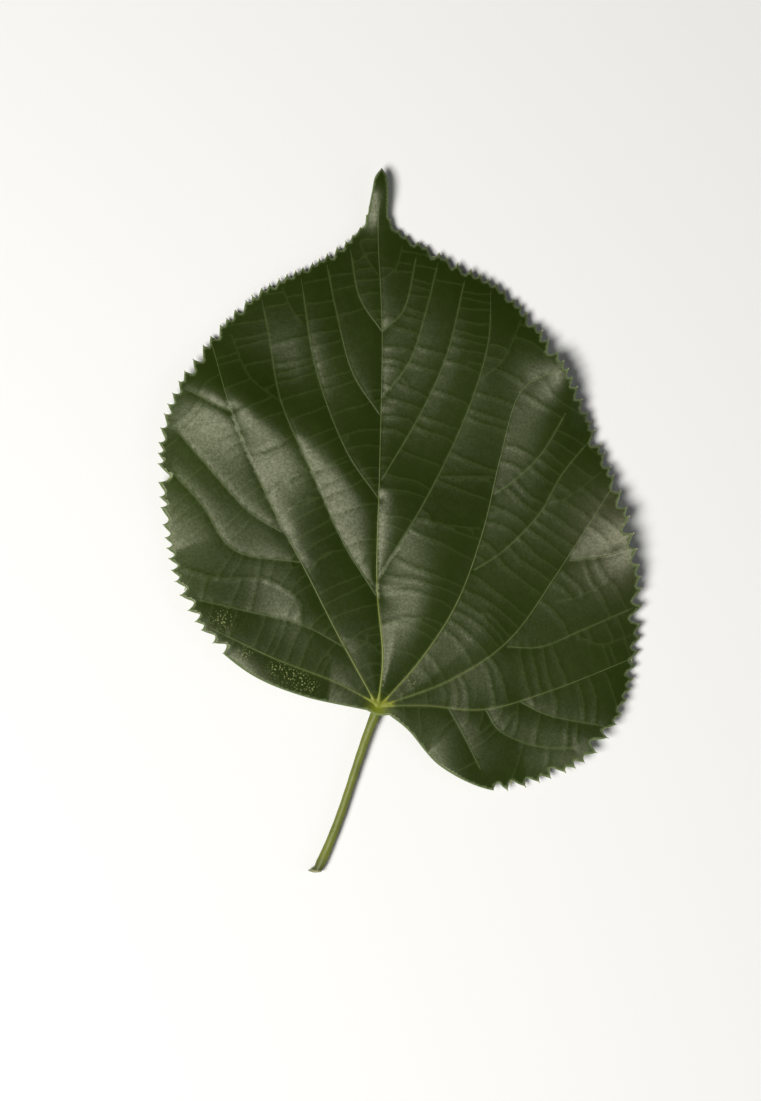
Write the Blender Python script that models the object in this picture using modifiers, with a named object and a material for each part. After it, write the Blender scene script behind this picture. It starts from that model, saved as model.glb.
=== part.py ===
"""One linden leaf as cut, lying upper face up: blade, petiole, and the veins that stand out below the blade.

The plan is laid out in millimetres from the knot where petiole and blade meet, with +Y towards the drip tip.
"""

import math
import random

import bmesh
import bpy
import numpy as np
from mathutils import Vector
from mathutils.geometry import delaunay_2d_cdt

MM = 0.001
GAP = 0.3

# Blade margin through the tips of its teeth, each side from the knot to the drip tip
RIGHT_MARGIN = [
    (2.3, -1.3), (6.0, -4.3), (12.0, -11.0), (21.8, -15.5), (30.5, -14.2), (41.5, -8.3), (48.2, 4.5),
    (50.0, 19.5), (47.6, 35.5), (41.8, 50.8), (35.2, 65.2), (25.0, 78.2), (12.5, 85.5), (4.4, 90.0),
    (2.3, 93.2), (2.2, 97.0), (1.9, 100.0), (0.9, 101.8),
]
LEFT_MARGIN = [
    (-1.9, -0.4), (-14.0, 2.3), (-24.5, 6.9), (-33.3, 15.0), (-38.8, 26.0), (-41.2, 44.0), (-39.8, 56.5),
    (-33.0, 68.3), (-23.0, 78.5), (-11.0, 84.8), (-4.0, 89.9), (-1.9, 93.4), (-1.0, 97.0), (-0.4, 100.0),
    (0.9, 101.8),
]

# Teeth point towards the drip tip; they are widest apart near the knot, and the tip's last stretch has none
TOOTH_DEPTH = 1.3
TOOTH_PITCH_LOW = 3.0
TOOTH_PITCH_HIGH = 2.1
TOOTH_JITTER = 0.3
TOOTHED_TO = 93.0
RIGHT_TOOTHED_FROM = 21.8
LEFT_TOOTHED_FROM = -29.0
TOOTH_SEED = 11

# Main veins that leave the knot: name, radius at the knot, the blade's valley along the vein as its depth
# at the root and at the tip and its half-width, points along the vein
MAIN_VEINS = [
    ("midrib", 0.62, (0.6, 0.5, 1.6), [(0.2, 0.5), (1.1, 10.0), (0.0, 24.0), (0.5, 45.0), (1.0, 70.0),
                                       (0.2, 90.0), (0.9, 98.5)]),
    ("vein_left_main", 0.55, (0.1, 0.5, 1.6), [(0.0, 0.5), (-7.4, 14.0), (-13.2, 25.5), (-20.0, 38.5),
                                                (-26.5, 53.5), (-31.4, 69.5)]),
    ("vein_right_main", 0.55, (0.9, 0.3, 3.6), [(0.5, 0.3), (8.5, 9.5), (15.2, 20.2), (20.0, 33.5),
                                                 (23.2, 47.0), (27.0, 59.5), (34.5, 64.0)]),
    ("vein_right_basal", 0.48, (0.5, 0.4, 2.6), [(0.5, 0.4), (9.0, 0.5), (20.5, -0.2), (33.0, 3.4),
                                                 (48.5, 9.5)]),
    ("vein_left_basal", 0.42, (0.2, 0.2, 2.0), [(0.0, 0.8), (-8.0, 5.0), (-19.5, 9.5), (-32.0, 15.5)]),
    ("vein_right_lower", 0.45, (0.6, 0.4, 3.0), [(2.5, 1.0), (14.0, 5.4), (25.0, 13.0), (34.0, 25.5),
                                                 (44.5, 42.0)]),
]

# Side veins: name, valley as above, points from the main vein that carries them
SIDE_VEINS = [
    ("side_vein_right_1", (0.7, 0.3, 2.4), [(0.2, 24.3), (9.3, 39.5), (16.5, 54.5), (20.8, 68.0),
                                             (21.5, 79.5)]),
    ("side_vein_right_2", (0.4, 0.25, 1.6), [(0.9, 43.0), (8.5, 56.0), (13.3, 67.0), (16.5, 80.5)]),
    ("side_vein_right_3", (0.3, 0.2, 1.4), [(0.9, 58.5), (6.2, 65.3), (9.3, 75.0), (11.5, 84.0)]),
    ("side_vein_right_4", (0.3, 0.2, 1.4), [(1.0, 71.0), (5.2, 75.3), (7.4, 85.0)]),
    ("side_vein_left_1", (0.9, 0.2, 2.4), [(0.0, 21.0), (-6.5, 31.5), (-12.0, 44.0), (-18.0, 57.7),
                                           (-20.3, 70.0), (-21.9, 78.0)]),
    ("side_vein_left_2", (0.4, 0.25, 1.6), [(0.3, 39.5), (-6.0, 49.0), (-11.5, 64.0), (-14.3, 81.0)]),
    ("side_vein_left_3", (0.3, 0.2, 1.4), [(0.5, 55.3), (-4.7, 63.5), (-7.7, 75.0), (-9.5, 84.0)]),
    ("side_vein_left_4", (0.3, 0.2, 1.4), [(0.9, 71.0), (-3.3, 77.5), (-5.0, 86.5)]),
    ("branch_left_upper", (0.5, 0.5, 1.6), [(-27.3, 55.8), (-31.0, 57.6), (-37.5, 61.0)]),
    ("branch_left_1", (0.2, 0.25, 1.4), [(-18.0, 33.2), (-24.5, 37.5), (-31.8, 45.5), (-39.5, 54.5)]),
    ("branch_left_2", (0.2, 0.2, 1.2), [(-14.5, 27.5), (-26.8, 29.8), (-33.0, 38.4), (-39.5, 45.5)]),
    ("branch_left_3", (0.15, 0.2, 1.2), [(-5.6, 11.2), (-14.2, 15.8), (-24.0, 18.2), (-36.0, 21.0)]),
    ("branch_right_1", (0.3, 0.3, 1.6), [(18.3, 26.0), (24.0, 29.8), (30.5, 36.5), (34.8, 44.0),
                                         (40.5, 51.0)]),
    ("branch_right_2", (0.25, 0.25, 1.6), [(22.0, 40.3), (26.0, 43.0), (31.0, 48.0), (35.5, 55.5)]),
    ("branch_lower_1", (0.3, 0.3, 1.8), [(24.5, 11.6), (31.0, 11.6), (38.6, 14.7), (48.5, 19.0)]),
    ("branch_lower_2", (0.4, 0.4, 2.0), [(36.2, 27.8), (43.5, 28.8), (48.0, 30.5)]),
    ("branch_basal_1", (0.3, 0.3, 1.8), [(20.5, -0.3), (23.5, -4.5), (31.0, -7.3), (41.0, -7.4)]),
    ("branch_basal_2", (0.3, 0.3, 1.8), [(27.0, 1.2), (33.0, -1.5), (44.5, -3.6)]),
    ("branch_basal_3", (0.25, 0.25, 1.8), [(13.5, 0.0), (16.0, -4.5), (19.5, -11.5)]),
]
SIDE_RADIUS = 0.34
VEIN_TIP_RADIUS = 0.24
VEIN_STEP = 4.2
VEIN_END_INSET = 6.0

# Blade: flat at first, then lifted off the ground, rolled down at the rim and sunk along the veins
BLADE_THICKNESS = 1.35
BLADE_LIFT = 2.5
RIM_ROLL = 6.5
KNOT_HOLD = 17.0
MESH_STEP = 3.5

# Places on the rim that stay up: centre x and y, reach
RAISED_RIM = [
    (50.0, 33.0, 15.0),
    (44.0, -8.0, 14.0),
    (-41.0, 44.0, 17.0),
    (-33.0, 20.0, 13.0),
    (-17.0, 3.0, 14.0),
    (16.0, -13.0, 10.0),
    (35.0, 65.0, 8.0),
    (1.0, 98.0, 6.0),
]

# Swells of the blade: centre x and y, half-lengths along and across, turn of the long way in degrees, rise
SWELLS = [
    (-25.0, 56.5, 16.0, 6.5, -28.0, 2.3),
    (-8.0, 45.5, 13.0, 8.0, -42.0, 1.3),
    (4.0, 38.0, 12.0, 8.0, -40.0, 0.8),
    (-12.0, 71.0, 12.0, 8.0, 105.0, 1.0),
    (17.0, 75.0, 15.0, 12.0, 80.0, 1.2),
    (10.0, 21.0, 12.0, 6.0, 70.0, 1.2),
    (21.0, 14.0, 7.0, 9.0, 0.0, 0.6),
    (-27.0, 9.0, 12.0, 8.0, -20.0, 1.7),
    (-14.0, 19.0, 9.0, 6.0, 115.0, 0.8),
    (-15.5, 35.0, 10.0, 6.0, 115.0, 0.5),
    (32.5, 54.0, 14.0, 7.0, 75.0, 1.0),
    (55.0, 36.0, 14.0, 13.0, 90.0, 3.5),
    (44.0, -4.0, 10.0, 14.0, 90.0, 0.3),
    (40.0, 67.0, 12.0, 9.0, 60.0, 2.9),
]

# Knot, and the petiole with its flared foot: points along it, radius at each
KNOT_CENTRE = (0.2, 0.6)
KNOT_RADIUS = 1.75
KNOT_HALF_HEIGHT = 1.45
PETIOLE_LINE = [(-0.4, -1.5), (-1.9, -5.3), (-3.8, -10.9), (-6.8, -20.0), (-9.0, -25.7), (-11.2, -30.6)]
PETIOLE_RADII = [(0.0, 0.98), (0.12, 0.86), (0.5, 0.8), (0.85, 0.92), (0.95, 1.12), (1.0, 1.35)]
PETIOLE_STEP = 2.4


def clear_scene():
    for thing in list(bpy.data.objects):
        bpy.data.objects.remove(thing, do_unlink=True)
    for group in list(bpy.data.collections):
        bpy.data.collections.remove(group)


def leaf_material(name, colour, roughness):
    """Plain Principled material; leaf tissue has no metal in it."""
    made = bpy.data.materials.new(name)
    made.use_nodes = True
    shader = made.node_tree.nodes["Principled BSDF"]
    shader.inputs["Base Color"].default_value = (*colour, 1.0)
    shader.inputs["Roughness"].default_value = roughness
    shader.inputs["Metallic"].default_value = 0.0
    return made


def smooth(points, step):
    """Evenly spaced points, about step apart, along a smooth curve through the given ones."""
    knots = np.array(points, float)
    knots = np.vstack([2 * knots[0] - knots[1], knots, 2 * knots[-1] - knots[-2]])
    fine = []
    for before, start, end, after in zip(knots, knots[1:], knots[2:], knots[3:]):
        for t in np.linspace(0.0, 1.0, 20, endpoint=False):
            cubic = 3 * start - before - 3 * end + after
            square = 2 * before - 5 * start + 4 * end - after
            fine.append(0.5 * (2 * start + (end - before) * t + square * t * t + cubic * t ** 3))
    fine.append(knots[-2])
    fine = np.array(fine)
    along = np.concatenate([[0.0], np.cumsum(np.linalg.norm(np.diff(fine, axis=0), axis=1))])
    stations = np.linspace(0.0, along[-1], max(2, round(along[-1] / step)) + 1)
    return np.column_stack([np.interp(stations, along, fine[:, axis]) for axis in range(fine.shape[1])])


def nearest_on(points, line):
    """Distance in plan from each point to a line of straight runs, and the share of the line up to there."""
    points = np.atleast_2d(points)
    nearest = np.full(len(points), np.inf)
    share = np.zeros(len(points))
    for i, (start, end) in enumerate(zip(line[:-1], line[1:])):
        run = end - start
        along = np.clip((points - start) @ run / (run @ run), 0.0, 1.0)
        away = np.linalg.norm(points - start - along[:, None] * run, axis=1)
        share = np.where(away < nearest, (i + along) / (len(line) - 1), share)
        nearest = np.minimum(nearest, away)
    return nearest, share


def distance(points, line):
    return nearest_on(points, line)[0]


def toothed_side(margin, toothed_from, seed):
    """One side of the margin with its teeth cut in, from the knot to the drip tip."""
    line = smooth(margin, 0.25)
    start = int(np.argmin(np.abs(line[:, 0] - toothed_from) + 0.02 * np.abs(line[:, 1])))
    end = int(np.argmax(line[:, 1] > TOOTHED_TO))
    lean = np.gradient(line, axis=0)
    inward = np.column_stack([-lean[:, 1], lean[:, 0]]) / np.linalg.norm(lean, axis=1)[:, None]
    inward *= 1.0 if margin[1][0] > 0 else -1.0
    chance = random.Random(seed)
    outline = [line[i] for i in range(0, start, 12)]
    at = start
    while at < end:
        done = (at - start) / (end - start)
        pitch = TOOTH_PITCH_LOW + (TOOTH_PITCH_HIGH - TOOTH_PITCH_LOW) * done
        pitch *= 1.0 + TOOTH_JITTER * chance.uniform(-1.0, 1.0)
        depth = TOOTH_DEPTH * pitch / TOOTH_PITCH_LOW
        step = pitch / 0.25
        notch = min(int(at + 0.22 * step), len(line) - 1)
        belly = min(int(at + 0.62 * step), len(line) - 1)
        outline.append(line[at])
        outline.append(line[notch] + inward[notch] * depth)
        outline.append(line[belly] + inward[belly] * depth * 0.42)
        at = int(at + step)
    outline.extend(line[i] for i in range(min(at, len(line) - 4), len(line) - 2, 6))
    outline.append(line[-1])
    return outline


def knot_bay():
    """Points round the bay in the blade's base that the knot sits in, from left margin to right."""
    centre = np.array(KNOT_CENTRE)
    radius = KNOT_RADIUS + GAP
    turns = np.radians(np.linspace(200.0, -30.0, 12))
    return [centre + radius * np.array([math.cos(turn), math.sin(turn)]) for turn in turns]


def trimmed(line, rim, inset):
    """The line up to where it comes within inset of the rim."""
    close = np.flatnonzero(distance(line, rim) < inset)
    close = close[close > len(line) // 2]
    return line[: close[0]] if len(close) else line


class Leaf:
    """Plan of the leaf, and the height of the blade's upper face at any point of the plan."""

    def __init__(self):
        right = toothed_side(RIGHT_MARGIN, RIGHT_TOOTHED_FROM, TOOTH_SEED)
        left = toothed_side(LEFT_MARGIN, LEFT_TOOTHED_FROM, TOOTH_SEED + 1)
        self.outline = np.array(right + left[:-1][::-1] + knot_bay()[1:-1])
        right_rim = smooth(RIGHT_MARGIN, 2.0)
        self.rim = np.vstack([right_rim, smooth(LEFT_MARGIN, 2.0)[-2::-1], right_rim[0]])
        self.main = [trimmed(smooth(points, 0.3), self.rim, 2.6) for _, _, _, points in MAIN_VEINS]
        self.side = [trimmed(smooth(points, 0.3), self.rim, 2.6) for _, _, points in SIDE_VEINS]
        self.main = [line[:: len(line) // 24 or 1] for line in self.main]
        self.side = [line[:: len(line) // 14 or 1] for line in self.side]

    def height(self, points):
        points = np.atleast_2d(points)
        flat = np.exp(-np.sum((points - np.array(KNOT_CENTRE)) ** 2, axis=1) / KNOT_HOLD ** 2)
        for x, y, reach in RAISED_RIM:
            away = np.hypot(points[:, 0] - x, points[:, 1] - y)
            flat = np.maximum(flat, np.exp(-(away / reach) ** 2))
        roll = 1.0 - np.exp(-distance(points, self.rim) / RIM_ROLL) * (1.0 - flat)
        height = BLADE_THICKNESS + BLADE_LIFT * roll
        for x, y, along, across, turn, rise in SWELLS:
            turn = math.radians(turn)
            u = (points[:, 0] - x) * math.cos(turn) + (points[:, 1] - y) * math.sin(turn)
            v = (points[:, 1] - y) * math.cos(turn) - (points[:, 0] - x) * math.sin(turn)
            height += rise * np.exp(-(u / along) ** 2 - (v / across) ** 2)
        for veins, lines in ((MAIN_VEINS, self.main), (SIDE_VEINS, self.side)):
            sunk = np.zeros(len(points))
            for vein, line in zip(veins, lines):
                root, tip, width = vein[-2]
                away, share = nearest_on(points, line)
                sunk = np.maximum(sunk, (root + (tip - root) * share) * np.exp(-away / width))
            height -= roll * sunk
        return height


def vein_stations(line, taken):
    """Stations along a vein for the blade's mesh, clear of the veins that are already in it."""
    length = np.linalg.norm(np.diff(line, axis=0), axis=1).sum()
    along = np.concatenate([[0.0], np.cumsum(np.linalg.norm(np.diff(line, axis=0), axis=1))])
    stops = np.linspace(0.0, length, max(3, round(length / VEIN_STEP)) + 1)
    stations = np.column_stack([np.interp(stops, along, line[:, axis]) for axis in range(2)])
    keep = np.linalg.norm(stations - np.array(KNOT_CENTRE), axis=1) > KNOT_RADIUS + GAP + 1.1
    for other in taken:
        keep &= distance(stations, other) > 1.1
    return stations[keep]


def blade_mesh(leaf):
    """Sheet over the plan, with edges along every vein, raised to the leaf's height."""
    plan = [Vector(point) for point in leaf.outline]
    count = len(plan)
    edges = []
    taken = [np.vstack([leaf.outline, leaf.outline[0]])]
    for line in leaf.main + leaf.side:
        stations = vein_stations(line, taken)
        first = len(plan)
        plan.extend(Vector(point) for point in stations)
        edges.extend((first + i, first + i + 1) for i in range(len(stations) - 1))
        taken.append(stations)
    low = leaf.outline.min(axis=0)
    high = leaf.outline.max(axis=0)
    rows = int((high[1] - low[1]) / (MESH_STEP * math.sin(math.radians(60)))) + 1
    grid = []
    for row in range(rows):
        y = low[1] + row * MESH_STEP * math.sin(math.radians(60))
        for x in np.arange(low[0] + (row % 2) * MESH_STEP / 2, high[0], MESH_STEP):
            grid.append((x, y))
    grid = np.array(grid)
    free = np.ones(len(grid), bool)
    for line in taken:
        free &= distance(grid, line) > 1.6
    plan.extend(Vector(point) for point in grid[free])
    verts, _, faces, _, _, inside = delaunay_2d_cdt(plan, edges, [list(range(count))], 0, 0.001)
    faces = [face for face, holders in zip(faces, inside) if holders]
    heights = leaf.height(np.array([tuple(vert) for vert in verts]))
    mesh = bpy.data.meshes.new("blade")
    spots = [(vert.x * MM, vert.y * MM, z * MM) for vert, z in zip(verts, heights)]
    mesh.from_pydata(spots, [], [list(face) for face in faces])
    sheet = bmesh.new()
    sheet.from_mesh(mesh)
    loose = [vert for vert in sheet.verts if not vert.link_faces]
    bmesh.ops.delete(sheet, geom=loose, context="VERTS")
    for face in sheet.faces:
        if face.normal.z < 0:
            face.normal_flip()
    sheet.to_mesh(mesh)
    sheet.free()
    mesh.shade_smooth()
    return mesh


def add_blade(leaf, group):
    blade = bpy.data.objects.new("blade", blade_mesh(leaf))
    group.objects.link(blade)
    blade.data.materials.append(leaf_material("blade_green", (0.045, 0.075, 0.020), 0.45))
    shell = blade.modifiers.new("thickness", "SOLIDIFY")
    shell.thickness = BLADE_THICKNESS * MM
    shell.offset = -1.0
    shell.use_even_offset = True
    return blade


def add_tube(name, points, radii, sides, material, group):
    """Tapered round stem through points in millimetres, closed at both ends."""
    curve = bpy.data.curves.new(name, "CURVE")
    curve.dimensions = "3D"
    curve.bevel_depth = MM
    curve.bevel_resolution = sides // 2 - 2
    curve.use_fill_caps = True
    run = curve.splines.new("POLY")
    run.points.add(len(points) - 1)
    for point, place, radius in zip(run.points, points, radii):
        point.co = (place[0] * MM, place[1] * MM, place[2] * MM, 1.0)
        point.radius = radius
    run.use_smooth = True
    tube = bpy.data.objects.new(name, curve)
    tube.data.materials.append(material)
    group.objects.link(tube)
    return tube


def vein_run(line, leaf, radii, neighbours):
    """The stretch of a vein that stands out below the blade: clear of its neighbours at its root."""
    along = np.concatenate([[0.0], np.cumsum(np.linalg.norm(np.diff(line, axis=0), axis=1))])
    stops = np.arange(0.0, along[-1], 0.2)
    fine = np.column_stack([np.interp(stops, along, line[:, axis]) for axis in range(2)])
    thick = np.interp(stops, [0.0, along[-1]], radii)
    close = np.zeros(len(fine), bool)
    for other, other_radius in neighbours:
        close |= distance(fine, other) < thick + other_radius + GAP
    close &= stops < 0.5 * along[-1]
    first = int(np.flatnonzero(close)[-1]) + 1 if close.any() else 0
    last = len(trimmed(fine, leaf.rim, VEIN_END_INSET)) - 1
    length = stops[last] - stops[first]
    places = np.linspace(stops[first], stops[last], max(2, round(length / VEIN_STEP)) + 1)
    run = np.column_stack([np.interp(places, along, line[:, axis]) for axis in range(2)])
    return run, np.interp(places, [0.0, along[-1]], radii)


def add_veins(leaf, group):
    """Every vein as a rib of its own, hung just below the blade's lower face."""
    main_look = leaf_material("main_vein_green", (0.26, 0.30, 0.08), 0.5)
    side_look = leaf_material("side_vein_green", (0.20, 0.25, 0.07), 0.5)
    knot_line = np.array([KNOT_CENTRE, KNOT_CENTRE]) + np.array([[0.0, 0.0], [0.0, 0.01]])
    neighbours = [(knot_line, KNOT_RADIUS)]
    rows = [(name, radius, line, main_look, 8) for (name, radius, _, _), line in zip(MAIN_VEINS, leaf.main)]
    rows += [(name, SIDE_RADIUS, line, side_look, 6) for (name, _, _), line in zip(SIDE_VEINS, leaf.side)]
    for name, radius, line, look, sides in rows:
        run, radii = vein_run(line, leaf, (radius, VEIN_TIP_RADIUS), neighbours)
        under = leaf.height(run) - 1.06 * BLADE_THICKNESS - GAP - radii - 0.08
        add_tube(name, np.column_stack([run, under]), radii, sides, look, group)
        neighbours.append((line, radius))


def add_knot(leaf, group):
    """Squashed ball at the junction, showing in the bay of the blade's base."""
    middle = leaf.height([KNOT_CENTRE])[0] - BLADE_THICKNESS
    bpy.ops.mesh.primitive_uv_sphere_add(segments=16, ring_count=10, radius=1.0)
    knot = bpy.context.object
    knot.name = "knot"
    knot.data.name = "knot"
    shape = bmesh.new()
    shape.from_mesh(knot.data)
    scale = (KNOT_RADIUS * MM, KNOT_RADIUS * MM, KNOT_HALF_HEIGHT * MM)
    bmesh.ops.scale(shape, vec=scale, verts=shape.verts)
    shape.to_mesh(knot.data)
    shape.free()
    knot.data.shade_smooth()
    knot.location = (KNOT_CENTRE[0] * MM, KNOT_CENTRE[1] * MM, middle * MM)
    knot.data.materials.append(leaf_material("knot_yellow_green", (0.30, 0.32, 0.06), 0.5))
    for other in list(knot.users_collection):
        other.objects.unlink(knot)
    group.objects.link(knot)
    return middle


def add_petiole(top_height, group):
    """Stalk from the knot down to the ground, ending in a flared foot with a flat scar."""
    line = smooth(PETIOLE_LINE, PETIOLE_STEP)
    share = np.linspace(0.0, 1.0, len(line))
    places, radii = zip(*PETIOLE_RADII)
    radii = np.interp(share, places, radii)
    rise = (1.0 - share) ** 2 * (3.0 - 2.0 * (1.0 - share))
    foot_height = 0.95 * radii[-1]
    height = foot_height + (top_height - foot_height) * rise
    look = leaf_material("petiole_green", (0.26, 0.31, 0.07), 0.5)
    return add_tube("petiole", np.column_stack([line, height]), radii, 10, look, group)


def set_down(group):
    """Move the leaf so that it rests on the ground, with the middle of its plan over the origin."""
    stand = bpy.data.objects.new("leaf_stand", None)
    group.objects.link(stand)
    bpy.context.view_layer.update()
    graph = bpy.context.evaluated_depsgraph_get()
    corners = []
    for thing in group.objects:
        if thing.type == "EMPTY":
            continue
        shape = thing.evaluated_get(graph)
        mesh = shape.to_mesh()
        corners.extend(thing.matrix_world @ vert.co for vert in mesh.vertices)
        shape.to_mesh_clear()
        thing.parent = stand
    low = [min(corner[axis] for corner in corners) for axis in range(3)]
    high = [max(corner[axis] for corner in corners) for axis in range(3)]
    stand.location = (-(low[0] + high[0]) / 2, -(low[1] + high[1]) / 2, -low[2])


def main():
    clear_scene()
    group = bpy.data.collections.new("linden_leaf")
    bpy.context.scene.collection.children.link(group)
    leaf = Leaf()
    add_blade(leaf, group)
    middle = add_knot(leaf, group)
    add_petiole(middle, group)
    add_veins(leaf, group)
    set_down(group)


main()
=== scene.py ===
import math
import random

import bmesh
import bpy
import numpy as np
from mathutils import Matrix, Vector, kdtree
from mathutils.geometry import delaunay_2d_cdt


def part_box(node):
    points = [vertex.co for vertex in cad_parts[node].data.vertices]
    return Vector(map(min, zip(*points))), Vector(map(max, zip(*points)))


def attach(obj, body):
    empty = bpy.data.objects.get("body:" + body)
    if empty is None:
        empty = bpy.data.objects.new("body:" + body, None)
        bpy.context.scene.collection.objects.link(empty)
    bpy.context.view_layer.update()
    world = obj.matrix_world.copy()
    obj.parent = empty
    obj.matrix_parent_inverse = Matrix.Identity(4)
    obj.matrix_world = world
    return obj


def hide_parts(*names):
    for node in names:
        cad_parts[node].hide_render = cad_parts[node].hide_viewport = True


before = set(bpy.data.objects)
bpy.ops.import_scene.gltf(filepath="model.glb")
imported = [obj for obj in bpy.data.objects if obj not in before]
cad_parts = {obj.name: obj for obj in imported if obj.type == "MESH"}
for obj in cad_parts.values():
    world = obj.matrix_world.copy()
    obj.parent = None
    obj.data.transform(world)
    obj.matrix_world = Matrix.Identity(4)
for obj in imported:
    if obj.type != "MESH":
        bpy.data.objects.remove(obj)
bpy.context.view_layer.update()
mm = 0.001

# The plan is in millimetres from the knot where stalk and blade meet, +Y towards the drip tip.

margin = {
    # through the tips of the teeth, each side from the knot to the drip tip
    "right": [(2.3, -1.3), (6.0, -4.3), (12.0, -11.0), (21.8, -15.5), (30.5, -14.2), (41.5, -8.3),
              (48.2, 4.5), (50.0, 19.5), (47.6, 35.5), (41.8, 50.8), (35.2, 65.2), (25.0, 78.2),
              (12.5, 85.5), (4.4, 90.0), (2.3, 93.2), (2.2, 97.0), (1.9, 100.0), (0.9, 101.8)],
    "left": [(-1.9, -0.4), (-14.0, 2.3), (-24.5, 6.9), (-33.3, 15.0), (-38.8, 26.0), (-41.2, 44.0),
             (-39.8, 56.5), (-33.0, 68.3), (-23.0, 78.5), (-11.0, 84.8), (-4.0, 89.9), (-1.9, 93.4),
             (-1.0, 97.0), (-0.4, 100.0), (0.9, 101.8)],
    "throat": [(-1.0, -0.9), (0.1, -1.3), (1.1, -1.4)],  # under the knot, between the two sides
}

teeth = {
    "lineStep": 0.25,
    "depth": 1.55,
    "pitchLow": 3.0,       # near the knot
    "pitchHigh": 2.2,      # near the drip tip
    "jitter": 0.3,
    "upTo": 93.0,          # no teeth on the drip tip
    "rightFrom": 21.8,     # and none on the base, up to these x
    "leftFrom": -29.0,
    "seed": 11,
    # share of the way from one tooth's tip to the next, and share of the depth there
    "profile": [(0.03, 0.34), (0.09, 0.72), (0.19, 0.97), (0.27, 1.0), (0.40, 0.86), (0.55, 0.62),
                (0.70, 0.40), (0.83, 0.23), (0.93, 0.11)],
    "uneven": 0.3,         # of the depth
    "fade": (8.0, 0.35),   # length below the drip tip where the depth falls, and share left
}

mainVeins = {
    "midrib": (0.62, [(0.2, 0.5), (1.1, 10.0), (0.0, 24.0), (0.5, 45.0), (1.0, 70.0), (0.2, 90.0),
                      (0.9, 98.5)]),
    "leftMain": (0.55, [(0.0, 0.5), (-7.4, 14.0), (-13.2, 25.5), (-20.0, 38.5), (-26.5, 53.5),
                        (-31.4, 69.5)]),
    "rightMain": (0.55, [(0.5, 0.3), (8.5, 9.5), (15.2, 20.2), (20.0, 33.5), (23.2, 47.0), (27.0, 59.5),
                         (34.5, 64.0)]),
    "rightBasal": (0.48, [(0.5, 0.4), (9.0, 0.5), (20.5, -0.2), (33.0, 3.4), (48.5, 9.5)]),
    "leftBasal": (0.42, [(0.0, 0.8), (-8.0, 5.0), (-19.5, 9.5), (-32.0, 15.5)]),
    "rightLower": (0.45, [(2.5, 1.0), (14.0, 5.4), (25.0, 13.0), (34.0, 25.5), (44.5, 42.0)]),
}

sideVeins = [
    [(0.2, 24.3), (9.3, 39.5), (16.5, 54.5), (20.8, 68.0), (21.5, 79.5)],
    [(0.9, 43.0), (8.5, 56.0), (13.3, 67.0), (16.5, 80.5)],
    [(0.9, 58.5), (6.2, 65.3), (9.3, 75.0), (11.5, 84.0)],
    [(1.0, 71.0), (5.2, 75.3), (7.4, 85.0)],
    [(0.0, 21.0), (-6.5, 31.5), (-12.0, 44.0), (-18.0, 57.7), (-20.3, 70.0), (-21.9, 78.0)],
    [(0.3, 39.5), (-6.0, 49.0), (-11.5, 64.0), (-14.3, 81.0)],
    [(0.5, 55.3), (-4.7, 63.5), (-7.7, 75.0), (-9.5, 84.0)],
    [(0.9, 71.0), (-3.3, 77.5), (-5.0, 86.5)],
    [(-27.3, 55.8), (-31.0, 57.6), (-37.5, 61.0)],
    [(-18.0, 33.2), (-24.5, 37.5), (-31.8, 45.5), (-39.5, 54.5)],
    [(-14.5, 27.5), (-26.8, 29.8), (-33.0, 38.4), (-39.5, 45.5)],
    [(-5.6, 11.2), (-14.2, 15.8), (-24.0, 18.2), (-36.0, 21.0)],
    [(18.3, 26.0), (24.0, 29.8), (30.5, 36.5), (34.8, 44.0), (40.5, 51.0)],
    [(22.0, 40.3), (26.0, 43.0), (31.0, 48.0), (35.5, 55.5)],
    [(24.5, 11.6), (31.0, 11.6), (38.6, 14.7), (48.5, 19.0)],
    [(36.2, 27.8), (43.5, 28.8), (48.0, 30.5)],
    [(20.5, -0.3), (23.5, -4.5), (31.0, -7.3), (41.0, -7.4)],
    [(27.0, 1.2), (33.0, -1.5), (44.5, -3.6)],
    [(13.5, 0.0), (16.0, -4.5), (19.5, -11.5)],
]

minorVeins = [
    [(1.0, 80.7), (3.6, 83.0), (5.0, 88.0)],
    [(0.6, 81.0), (-2.6, 86.0), (-3.3, 90.0)],
    [(20.0, 62.3), (24.0, 66.0), (27.3, 73.5)],
    [(-17.8, 57.5), (-24.0, 62.5), (-27.5, 70.5)],
    [(-13.8, 72.0), (-16.3, 75.5), (-18.3, 80.5)],
    [(32.2, 38.7), (36.0, 39.8), (43.5, 45.5)],
    [(38.3, 13.3), (42.5, 12.0), (48.5, 14.0)],
    [(34.5, 20.3), (37.5, 20.8), (44.0, 24.0)],
    [(-14.2, 15.8), (-15.0, 20.5), (-21.4, 24.3), (-29.8, 24.5), (-37.0, 26.5)],
    [(-12.8, 25.6), (-10.0, 29.0), (-6.0, 29.8)],
    [(-18.4, 35.5), (-14.5, 39.0), (-10.0, 39.8)],
    [(-20.5, 40.0), (-16.0, 43.5), (-9.0, 45.3), (-5.0, 46.6)],
    [(-23.7, 48.0), (-19.0, 49.3), (-15.0, 52.0)],
    [(1.0, 10.0), (-2.0, 12.5), (-6.5, 13.2)],
    [(0.6, 15.0), (4.5, 16.8), (9.0, 17.0), (12.5, 15.8)],
    [(7.0, 36.0), (13.0, 34.5), (19.8, 33.8)],
    [(11.5, 43.5), (17.0, 43.6), (22.3, 43.5)],
]

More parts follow.
